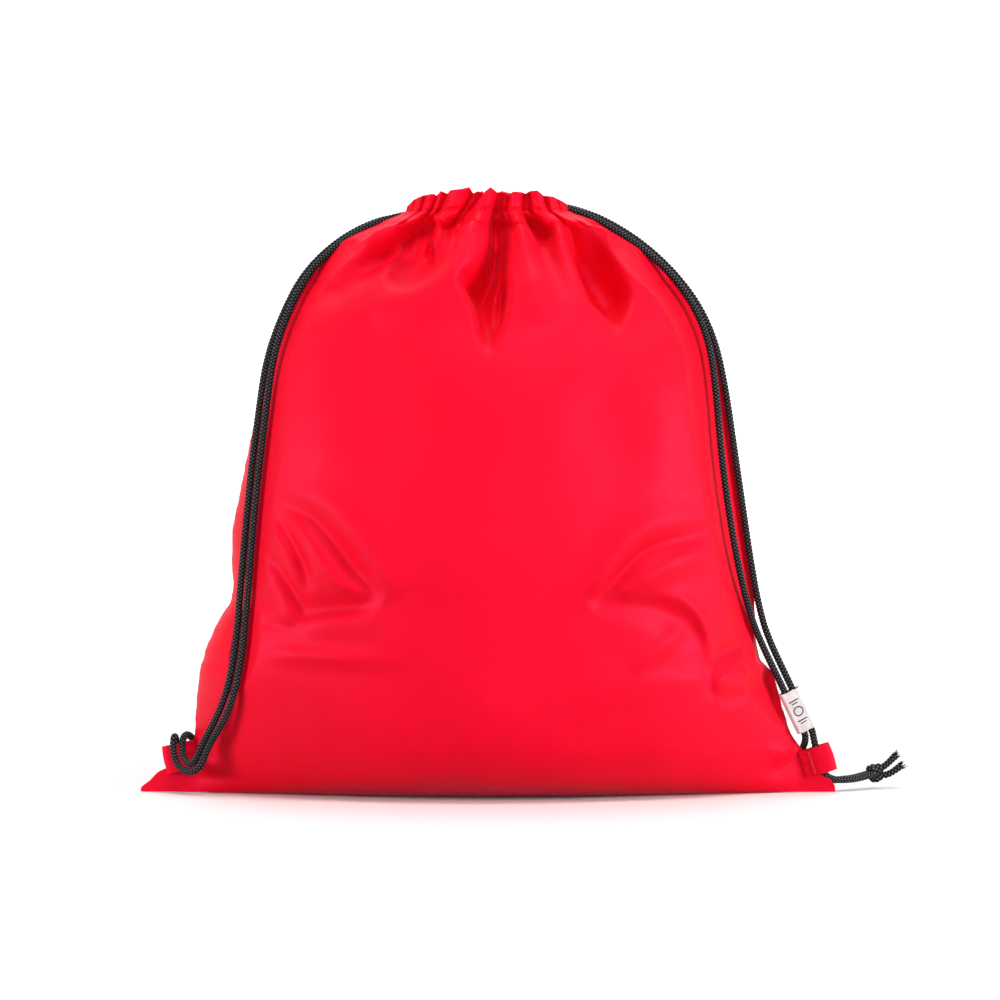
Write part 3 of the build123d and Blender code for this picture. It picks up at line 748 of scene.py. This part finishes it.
def pocket_height(px, pz, pockets):
    total = np.zeros(len(px))
    for outline, depths, soft, rim in pockets:
        raw = np.array(outline, float)
        loop = np.vstack([raw[-2:], raw, raw[:2]])
        at = np.linspace(2, len(raw) + 2, len(raw) * 5, endpoint=False)
        pts = np.stack([catmull(loop[:, j], at) for j in (0, 1)], axis=1)
        nxt = np.roll(pts, -1, axis=0)
        best = np.full(len(px), 1e9)
        inside = np.zeros(len(px), bool)
        for (ax, az), (bx, bz) in zip(pts, nxt):
            dx, dz = bx - ax, bz - az
            f = np.clip(((px - ax) * dx + (pz - az) * dz) / (dx * dx + dz * dz), 0, 1)
            best = np.minimum(best, np.hypot(px - ax - f * dx, pz - az - f * dz))
            if bz != az:
                crosses = ((az > pz) != (bz > pz)) & (px < dx * (pz - az) / dz + ax)
                inside ^= crosses
        low = pts[:, 1].min()
        depth = np.interp(pz, [d[0] for d in depths], [d[1] for d in depths])
        sunk = 1 - np.exp(-((best / soft) ** 1.5))
        total += np.where(inside, -depth * sunk, 0.0)
        total += rim * np.exp(-((best / (soft * 0.8)) ** 2)) * np.where(inside, 0.0, 1.0) * step(low, low + 8, pz)
    return total


def fold_height(px, pz, folds):
    total = np.zeros(len(px))
    for points in folds:
        signed, where = along_stroke(px, pz, points)
        arr = np.array(points, float)
        idx = np.arange(len(arr))
        h = np.interp(where, idx, arr[:, 2])
        wl = np.interp(where, idx, arr[:, 3])
        wr = np.interp(where, idx, arr[:, 4])
        w = np.where(signed > 0, wl, wr)
        total += h * np.exp(-((signed / w) ** 2))
    return total


# Creases between the gathers of the hem: x at the top, x at the seam line, and how far
# the cloth bulges between this crease and the next.
FRONT_GATHERS = [
    (-41.5, -41.5, 3.0), (-36.5, -38.5, 4.4), (-31.5, -34.5, 5.6), (-25.8, -29.5, 4.6), (-20.6, -25.5, 8.6),
        (-7.2, -14.2, 4.0),
    (-2.7, -11.0, 8.4), (4.8, 3.0, 2.6), (7.2, 5.4, 3.8), (10.4, 9.0, 7.4), (18.2, 17.0, 3.4), (20.4, 22.0, 7.6),
        (27.9, 31.0, 6.0),
    (34.5, 36.6, 4.0), (38.6, 39.4, 2.4), (41.5, 41.5, 0.0),
]
FRONT_TOP = [
    (-46, 291), (-41.3, 294), (-36.9, 298.2), (-31.9, 300.2), (-26.9, 300.8), (-25.6, 299.9), (-23.5, 302.3),
        (-20.2, 301.0), (-18.5, 302.7),
    (-13, 303.2), (-9.1, 304.2), (-7.4, 301.2), (-4.6, 302.3), (-2.7, 300.9), (1.3, 304.2), (4.6, 301.6),
        (6.5, 301.9), (8.5, 301.0),
    (10.4, 299.9), (12.4, 301.9), (17.2, 301.6), (18.6, 300.9), (20.7, 302.2), (24.7, 302.4), (27.8, 299.9),
        (32.6, 299.4), (36.6, 297.6),
    (40, 295.6), (46, 292),
]


FOLD_SCALE = 1.5


def gathers(x, z, table):
    """Rounded folds side by side, with a sharp crease between each two, from 0 in a crease."""
    total = np.zeros(len(x))
    level = np.clip((z - 290.0) / 12.0, 0, 1)
    for (top, low, bulge), (top2, low2, _) in zip(table, table[1:]):
        at, nxt = low + (top - low) * level, low2 + (top2 - low2) * level
        f = (x - at) / (nxt - at)
        here = (f >= 0) & (f < 1)
        total[here] = bulge * np.power(4 * f[here] * (1 - f[here]), 0.6)
    return total


def waves(p, seed):
    """Slow unevenness of filled cloth, in mm."""
    rng = np.random.default_rng(seed)
    total = np.zeros(len(p))
    for size, amp in ((80, 0.6), (42, 0.2), (20, 0.06)):
        for _ in range(6):
            k = rng.normal(0, 1, 3)
            k /= np.linalg.norm(k)
            total += amp * 0.6 * np.sin(p @ k * 2 * math.pi / size + rng.uniform(0, 2 * math.pi))
    return total


def panel_points(side):
    """One panel from the bottom seam under the bag, up its face, over the hem's top and down inside."""
    t = np.linspace(0, math.pi, COLS)
    c = -np.cos(t)
    floor = np.linspace(0, 1, 15)[:-1]
    low = np.concatenate([[0.35, 0.6, 1.0, 1.6, 2.4], np.arange(3.4, 30, 1.2)])
    body = np.arange(30.5, 286, 1.3)
    hem = np.arange(286, 303.01, 0.45)
    rows = [("floor", f) for f in floor] + [("body", z) for z in np.concatenate([low, body, hem])]
    inner = [("inner", f) for f in np.linspace(0, 1, 12)[1:]]
    pts = []
    for kind, v in rows + inner:
        z = 0.35 if kind == "floor" else (303.0 if kind == "inner" else v)
        z = float(z)
        left, right = table_at(LEFT_EDGE, z), table_at(RIGHT_EDGE, z)
        reach = np.where(c < 0, left, right)
        x = c * reach
        limit = np.minimum(reach, np.where(c < 0, table_at(LEFT_BODY, z), table_at(RIGHT_BODY, z)))
        u = np.clip(np.abs(x) / limit, 0, 1)
        y = table_at(DEPTH, z) * np.power(np.clip(1 - u * u, 0, 1), table_at(PINCH, z) / 2)
        ear = 0.9 * (1 - np.abs(c) ** 10)
        y = np.sqrt(y * y + ear * ear)
        round_end = np.clip((np.abs(x) - 24.0) * 17.0 / (reach - 24.0), 0, 17.0)
        neck = np.sqrt(np.clip(17.0**2 - round_end**2, 0, None)) - 1.6
        y = y + (np.maximum(neck, 0) - y) * step(276, 292, z)
        opening = 5.0 * step(284, 289, z)
        y = np.sqrt(y * y + opening * opening * (1 if opening > 0 else 0))
        if kind == "floor":
            y = y * v
        pts.append(np.stack([x, side * y, np.full(COLS, z)], axis=1))
    return np.array(pts), rows + inner


def normals_of(grid):
    du = np.gradient(grid, axis=1)
    dv = np.gradient(grid, axis=0)
    n = np.cross(du, dv)
    n /= np.maximum(np.linalg.norm(n, axis=2), 1e-9)[:, :, None]
    return n


def build_cloth(name, side, folds, pockets, gather_table, top_table, seed):
    grid, kinds = panel_points(side)
    flat = grid.reshape(-1, 3)
    n = normals_of(grid).reshape(-1, 3)
    outward = np.sign(n[:, 1] * side)
    n = n * np.where(outward == 0, 1, outward)[:, None]
    if side < 0:
        px, pz = seen_at(flat)
    else:
        px, pz = -flat[:, 0], flat[:, 2]
    z = flat[:, 2]
    h = (FOLD_SCALE + 1.2 * step(215, 245, z)) * fold_height(px, pz, folds) + 1.3 * pocket_height(px, pz, pockets)
    in_hem = step(285, 294, z)
    edge_free = np.minimum(1, np.abs(flat[:, 1]) / 6)
    rough = waves(flat, seed) * step(0, 12, z) * edge_free * (1 - 0.7 * step(262, 284, z))
    on_floor = step(0.2, 7, z)
    from_seam = np.abs(np.abs(flat[:, 0]) - np.where(flat[:, 0] < 0, table_at(LEFT_EDGE, z), table_at(RIGHT_EDGE, z)))
    rng = np.random.default_rng(seed + 40)
    pucker = np.zeros(len(z))
    for size, amp in ((13.0, 0.34), (8.5, 0.26), (5.6, 0.16)):
        pucker += amp * np.sin(2 * math.pi * z / size + rng.uniform(0,
            6) + 0.9 * np.sin(z / 17.0 + rng.uniform(0, 6)))
    rough = rough + pucker * np.exp(-from_seam / 11.0) * step(10, 30, z) * (1 - step(262, 282, z))
    fan = np.arctan2(flat[:, 0], 330.0 - z)
    rays = 0.34 * np.sin(fan * 46 + 1.0) + 0.26 * np.sin(fan * 83 + 2.3) + 0.16 * np.sin(fan * 131 + 0.4)
    rough = rough + rays * np.exp(-(((z - 279.0) / 13.0) ** 2))
    reach = np.where(px < 0, table_at(LEFT_EDGE, z), table_at(RIGHT_EDGE, z))
    g = gathers(px * 41.5 / (41.5 + 0.55 * np.maximum(reach - 41.5, 0)), z, gather_table)
    h = h * (1 - 0.75 * in_hem) * on_floor * np.minimum(1, np.abs(flat[:, 1]) / 3) + rough
    h = h + g * step(262, 290, z) * (1 - 0.2 * np.exp(-((z - 292.6) / 1.2) ** 2))
    h = h.reshape(grid.shape[:2])
    for _ in range(3):
        soft = h.copy()
        soft[1:-1] += h[:-2] + h[2:]
        soft[:, 1:-1] += h[:, :-2] + h[:, 2:]
        soft[1:-1, 1:-1] /= 5
        h[1:-1, 1:-1] = soft[1:-1, 1:-1]
    h = h.ravel()
    direction = np.stack([n[:, 0] * 0.4, n[:, 1], n[:, 2] * 0.6], axis=1)
    direction[:, 0] *= 1 - in_hem
    direction[:, 2] *= 1 - in_hem
    moved = flat + direction * h[:, None]
    # keep the hem outside its cord, and the two panels apart
    moved = moved.reshape(grid.shape)
    for r, (kind, v) in enumerate(kinds):
        if kind == "body" and v > 277:
            end = np.clip(np.abs(moved[r, :, 0]) - 25.5, 0, 16.1)
            keep = np.minimum(14.7, np.sqrt(16.1**2 - end**2))
            y = moved[r, :, 1] * side
            moved[r, :, 1] = side * np.maximum(y, np.maximum(keep * step(277, 289, v), 5.0 * step(284, 289, v)))
            tops = np.interp(moved[r, :, 0] if side < 0 else -moved[r, :, 0], [q[0] for q in top_table],
                [q[1] for q in top_table])
            level = v + (moved[r, :, 2] - v) * (1 - step(277, 287, v))
            moved[r, :, 2] = np.where(v > 292, 292 + (v - 292) / 11 * (tops - 292), level)
            # the frill above the cord leans out a little, and it is waisted at the stitching
            frill = 0.9 * step(297, 303, v) - 0.5 * math.exp(-((v - HEM_Z) / 1.0) ** 2)
            moved[r, :, 1] += side * frill
    last = [r for r, (kind, v) in enumerate(kinds) if kind == "body"][-1]
    crest = moved[last]
    for r, (kind, f) in enumerate(kinds):
        if kind != "inner":
            continue
        turn = min(1.0, f / 0.35)
        drop = 1.2 * (1 - math.cos(turn * math.pi / 2)) + max(0.0, f - 0.35) / 0.65 * 9.0
        inset = 7.4 * math.sin(turn * math.pi / 2) + 1.0 * max(0.0, f - 0.35)
        y = np.maximum(crest[:, 1] * side - inset, np.minimum(2.6, crest[:, 1] * side))
        moved[r] = np.stack([crest[:, 0] * (1 - 0.02 * f), side * y, crest[:, 2] - drop], axis=1)
    # the cloth gives way under the cords, and behind to where the straps swing; near the mouth they still cross it
    flat = press(moved.reshape(-1, 3), front_touches() if side < 0 else back_touches(), side)
    moved = flat.reshape(grid.shape)
    moved[:, :, 2] = np.maximum(moved[:, :, 2], 0.3)
    arc = np.concatenate([[0], np.cumsum(np.linalg.norm(np.diff(moved[:, COLS // 2], axis=0), axis=1))]) * MM
    uv = np.stack([np.tile(np.linspace(0, FLAT_SIZE[0], COLS), len(moved)), np.repeat(arc, COLS)], axis=1)
    faces = grid_faces(len(moved), COLS)
    if side > 0:
        faces = faces[:, ::-1]
    obj = new_mesh(name, moved.reshape(-1, 3) * MM, faces, uv)
    dress(obj, RED)
    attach(obj, "bag")
    return obj, moved


def turned_about(points, joint, share):
    """Points in metres carried round a hinge to a share of its upper limit."""
    at, axis = np.array(joint["pos_m"]), np.array(joint["axis"])
    axis = axis / np.linalg.norm(axis)
    angle = math.radians(joint["range_deg"][1]) * share
    d = points - at
    along = np.outer(d @ axis, axis)
    return at + along + (d - along) * math.cos(angle) + np.cross(axis, d) * math.sin(angle)


def front_touches():
    """Points in mm that lie on the front cloth, with half the width of what lies there and how soon its bed fades."""
    rows = []
    for name, line in cord_lines.items():
        if "run" not in name and "leg" not in name:
            continue
        for x, y, z in line[::6] / MM:
            if y > 2.5 or z > GROOVE_TOP:
                continue
            rows.append((x, y, z, 1.4, 0.55 * max(0.0, z - 262), 20.0 if z < 250 else 14.0))
    low, high = (np.array(v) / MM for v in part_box("label"))
    middle = (low + high) / 2
    slide = np.array(JOINTS["label_slide"]["axis"])
    for step_up in np.linspace(-4, 10, 6) + JOINTS["label_slide"]["range_m"][1] / MM * 0.5:
        x, y, z = middle + slide * step_up
        rows.append((x, y + 1.6, z, 7.5, 0.0, 20.0))
    return rows


def back_touches():
    """The same for the back cloth: where the run of each strap comes to lie when it swings."""
    rows = []
    for side in ("left", "right"):
        for which in ("front", "back"):
            line = cord_lines[f"{side}_{which}_run_braid"][::14]
            for share in SWING_SHARES:
                for x, y, z in turned_about(line, JOINTS[f"{side}_strap_swing"], share) / MM:
                    if y > 1.5 and z < 288:
                        rows.append((x, y, z, 2.2, 0.0, 16.0))
    return rows


def press(flat, near, side):
    """Moves cloth inward where something lies on it."""
    out = flat.copy()
    for _ in range(2):
        for px, py, pz, half, ease, reach in near:
            close = (np.abs(out[:, 0] - px) < reach) & (np.abs(out[:, 2] - pz) < reach)
            idx = np.nonzero(close)[0]
            if len(idx) == 0:
                continue
            across = np.hypot(out[idx, 0] - px, out[idx, 2] - pz)
            away = np.maximum(across - half, 0)
            rise = 1.3 * away**2 / (away + 1.6) + 0.06 * away**2 + ease  # the cloth's rise each side of it
            depth = side * out[idx, 1]
            bed = side * py - CORD_BED + rise
            hit = (across < reach) & (depth > bed)
            out[idx[hit], 1] = side * np.minimum(depth[hit], np.maximum(bed[hit], LEAST_DEPTH))
    return out


front_cloth, front_grid = build_cloth("front_cloth", -1, FRONT_FOLDS, FRONT_POCKETS, FRONT_GATHERS, FRONT_TOP, 5)
BACK_FOLDS = [[(x * 0.96 + 2, z - 4 if z < 240 else z, h * 0.9, wl, wr) for x, z, h, wl,
    wr in f] for f in FRONT_FOLDS]
BACK_POCKETS = [([(x * 1.05 - 3, z) for x, z in o], [(z, d * 0.8) for z, d in t], s, r) for o, t, s,
    r in FRONT_POCKETS]
BACK_GATHERS = [
    (-41.5, -41.5, 1.8), (-36.0, -37.5, 3.6), (-29.5, -31.0, 2.6), (-24.0, -26.0, 6.0), (-13.5, -15.0, 3.0),
        (-8.6, -9.0, 6.4), (2.5, 1.0, 3.4),
    (8.5, 8.0, 5.0), (16.2, 17.5, 2.8), (21.0, 23.0, 6.0), (31.5, 32.5, 3.4), (37.0, 38.0, 2.0), (41.5, 41.5, 0.0),
]
BACK_TOP = [(x * 0.95 + 2.0, z - 0.4) for x, z in FRONT_TOP]
back_cloth, back_grid = build_cloth("back_cloth", 1, BACK_FOLDS, BACK_POCKETS, BACK_GATHERS, BACK_TOP, 8)
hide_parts("front_panel", "front_hem")
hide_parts("back_panel", "back_hem")

# ------------------------------------------------------------------ corner loops and label
LOOPS = {
    "left": (np.array([-150.0, 0, 19.0]), np.array([-0.975, 0, -0.22]), np.array([0.22, 0, -0.975])),
    "right": (np.array([161.1, 0, 14.6]), np.array([0.95, 0, 0.31]), np.array([0.31, 0, -0.95])),
}
for side, (root, out, down) in LOOPS.items():
    # section of the folded tape, from the back panel round the end to the front panel
    half, reach, thick = 3.2, 13.0, 0.45
    outer = [(-3.0, 1.0), (0.5, 1.4), (3.0, 2.6), (6.5, half), (10.2, half - 0.1), (12.2, 2.2), (reach, 0.0)]
    prof = np.array(outer + [(a, -b) for a, b in outer[-2::-1]])
    k = np.linspace(0, len(prof) - 1, 61)
    px = catmull(prof[:, 0], k)
    py = catmull(prof[:, 1], k)
    widths = np.linspace(-7, 7, 29)
    verts, uvs = [], []
    for w in widths:
        lift = 0.25 * math.sin(w * 1.1) * (np.abs(np.linspace(-1, 1, 61)) ** 2) + 0.0
        sag = 0.5 * math.cos(w / 7 * math.pi / 2)
        for a, b, l in zip(px + sag * np.clip(px / 13, 0, 1), py, lift):
            p = root + out * a + down * w + np.array([0, b + l, 0])
            verts.append(p * MM)
            uvs.append((a * MM + 0.01 * (b > 0), w * MM))
    tape = new_mesh(f"{side}_loop_tape", verts, grid_faces(len(widths), 61), uvs)
    solid = tape.modifiers.new("thickness", "SOLIDIFY")
    solid.thickness = thick * MM
    solid.offset = 0
    dress(tape, RED)
    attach(tape, "bag")
    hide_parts(f"{side}_corner_loop")

# ------------------------------------------------------------------ stage and light
world = bpy.data.worlds.new("studio")
bpy.context.scene.world = world
world.use_nodes = True
world.node_tree.nodes["Background"].inputs["Color"].default_value = (1, 1, 1, 1)
world.node_tree.nodes["Background"].inputs["Strength"].default_value = 0.22
floor_verts, profile = [], [(-3.5, 0.0), (2.6, 0.0), (3.0, 0.04), (3.4, 0.2), (3.7, 0.6), (3.8, 1.2), (3.8, 4.0)]
for y, z in profile:
    for x in (-4.0, 4.0):
        floor_verts.append((x, y, z))
stage = new_mesh("floor_and_backdrop", floor_verts, grid_faces(len(profile), 2))
m, nodes, links, shader = material("pale_floor")
paths = nodes.new("ShaderNodeLightPath")
tone = nodes.new("ShaderNodeMix")
tone.data_type = "RGBA"
tone.inputs["A"].default_value = (0.93, 0.93, 0.93, 1)
tone.inputs["B"].default_value = (0.44, 0.43, 0.43, 1)
links.new(paths.outputs["Is Diffuse Ray"], tone.inputs["Factor"])
links.new(tone.outputs["Result"], shader.inputs["Base Color"])
shader.inputs["Roughness"].default_value = 0.9
shader.inputs["Specular IOR Level"].default_value = 0.1
dress(stage, m)


def area_light(name, at, aim, size, power, size_y=None):
    data = bpy.data.lights.new(name, "AREA")
    data.shape = "RECTANGLE"
    data.size, data.size_y = size, size_y or size
    data.energy = power
    lamp = bpy.data.objects.new(name, data)
    bpy.context.scene.collection.objects.link(lamp)
    lamp.location = at
    lamp.visible_camera = False
    lamp.rotation_euler = (Vector(aim) - Vector(at)).to_track_quat("-Z", "Y").to_euler()
    return lamp


area_light("top_softbox", (0.3, -1.0, 2.4), (0, 0, 0.15), 0.9, 26)
area_light("front_softbox", (0.3, -3.0, 0.2), (0, 0, 0.06), 0.9, 19)
area_light("right_softbox", (2.2, -1.0, 0.5), (0, 0, 0.10), 0.9, 48)
area_light("left_softbox", (-2.2, -1.0, 0.4), (0, 0, 0.06), 0.9, 40)
area_light("backdrop_light", (0.0, 2.0, 1.6), (0, 3.7, 0.4), 1.8, 50)
area_light("floor_light", (0.0, 1.4, 2.4), (0, 1.6, 0.0), 2.6, 46)
bpy.context.scene.view_settings.view_transform = "Standard"

# ------------------------------------------------------------------ stitches of the hem
def stitches(name, grid, side, height, node):
    """Thread that dips in and out of the cloth along the hem's seam line."""
    rows = [r for r in range(len(grid)) if abs(np.median(grid[r, :, 2]) - height) < 0.35]
    line = grid[rows[0]].copy()
    line[:, 1] += side * 0.10
    line, along = evenly(line * MM, 0.25 * MM)
    along = along / MM
    verts, faces, uvs = [], [], []
    pitch, length = 2.9, 2.1
    count = int(along[-1] / pitch)
    for k in range(2, count - 2):
        t = np.linspace(0, 1, 7)
        at = k * pitch + t * length
        pts = np.stack([np.interp(at, along, line[:, j]) for j in range(3)], axis=1)
        lift = (np.sin(np.pi * t) ** 0.5 * 0.24 - 0.12) * MM
        pts[:, 1] += side * lift
        first = len(verts)
        for p, f in zip(pts, t):
            rad = 0.21 * MM * (0.55 + 0.45 * math.sin(math.pi * f) ** 0.4)
            for j in range(6):
                q = 2 * math.pi * j / 6
                verts.append(p + np.array([0, math.cos(q), math.sin(q)]) * rad)
                uvs.append((f, j / 6))
        for f in grid_faces(7, 6, closed=True):
            faces.append(tuple(int(x) + first for x in f))
    obj = new_mesh(name, verts, faces, uvs)
    dress(obj, THREAD)
    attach(obj, "bag")
    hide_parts(node)
    return obj


stitches("front_hem_stitches", front_grid, -1, HEM_Z, "front_hem_stitching")
stitches("back_hem_stitches", back_grid, 1, HEM_Z, "back_hem_stitching")


# ------------------------------------------------------------------ sleeve label
def label_material(name):
    """Smooth white tape with a plain printed mark: a ring between two rows of bars."""
    m, nodes, links, shader = material(name)
    uv = nodes.new("ShaderNodeUVMap")
    uv.uv_map = "UVMap"
    split = nodes.new("ShaderNodeSeparateXYZ")
    links.new(uv.outputs[0], split.inputs[0])
    x, y = split.outputs[0], split.outputs[1]

    def box(cx, cy, hx, hy):
        dx = math_node("ABSOLUTE", math_node("SUBTRACT", x, cx))
        dy = math_node("ABSOLUTE", math_node("SUBTRACT", y, cy))
        return math_node("MULTIPLY", math_node("LESS_THAN", dx, hx), math_node("LESS_THAN", dy, hy))

    dx = math_node("SUBTRACT", x, 0.0)
    dy = math_node("SUBTRACT", y, 11.0)
    dist = math_node("SQRT", math_node("ADD", math_node("MULTIPLY", dx, dx), math_node("MULTIPLY", dy, dy)))
    off = math_node("ABSOLUTE", math_node("SUBTRACT", dist, 2.3))
    mark = math_node("LESS_THAN", off, 0.32)
    front = math_node("LESS_THAN", math_node("ABSOLUTE", x), 4.6)
    for part in (box(0, 16.8, 2.6, 0.33), box(0, 15.4, 1.6, 0.28), box(0, 6.2, 2.6, 0.33), box(0, 4.8, 1.6, 0.28)):
        mark = math_node("MAXIMUM", mark, part)
    mark = math_node("MULTIPLY", mark, front)
    fibres = nodes.new("ShaderNodeMapping")
    fibres.inputs["Scale"].default_value = (6.0, 1.2, 1.0)
    links.new(uv.outputs[0], fibres.inputs["Vector"])
    grain = noise_node(fibres.outputs[0], 1.6, 3.0)
    ground = ramp(grain, [(0.3, (0.72, 0.72, 0.71)), (0.7, (0.84, 0.84, 0.83))])
    mix = nodes.new("ShaderNodeMix")
    mix.data_type = "RGBA"
    links.new(mark, mix.inputs["Factor"])
    links.new(ground, mix.inputs["A"])
    mix.inputs["B"].default_value = (0.012, 0.012, 0.014, 1)
    links.new(mix.outputs["Result"], shader.inputs["Base Color"])
    bump = bump_node(grain, 0.4, 0.05 * MM)
    links.new(bump, shader.inputs["Normal"])
    shader.inputs["Roughness"].default_value = 0.5
    return m


low_end, high_end = np.array([161.0, -3.0, 31.0]), np.array([138.4, -10.0, 77.7])
axis = (high_end - low_end) / np.linalg.norm(high_end - low_end)
wide = np.cross([0.0, 1.0, 0.0], axis)
wide /= np.linalg.norm(wide)
deep = np.cross(axis, wide)
if deep[1] > 0:
    deep = -deep
verts, uvs = [], []
around, rings = 72, 25
for k in range(rings):
    s = 22.0 * k / (rings - 1)
    for j in range(around):
        q = 2 * math.pi * j / around
        cx, cy = math.cos(q), math.sin(q)
        px = 5.15 * math.copysign(abs(cx) ** 0.42, cx)
        py = 2.45 * math.copysign(abs(cy) ** 0.62, cy)
        py *= 1 + 0.05 * math.sin(s * 0.5 + px * 0.4)
        # the two cords show faintly through the tape
        py += 0.16 * math.copysign(1, cy) * math.cos(px * math.pi / 2.3) * (abs(px) < 4.2)
        verts.append((low_end + axis * (1.2 + s + 0.15 * math.sin(px)) + wide * px + deep * py) * MM)
        uvs.append((px if py > 0 else px + 20.0, s))
label = new_mesh("sleeve_label", verts, grid_faces(rings, around, closed=True), uvs)
solid = label.modifiers.new("thickness", "SOLIDIFY")
solid.thickness = 0.3 * MM
dress(label, label_material("white_label_tape"))
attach(label, "label")
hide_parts("label")

# ------------------------------------------------------------------ CAD parts still shown
for node in ("left_side_seam", "right_side_seam", "bottom_seam", "left_loop_bartack", "right_loop_bartack"):
    obj = frame["nodes"][node]
    obj.data.materials.clear()
    obj.data.materials.append(THREAD)
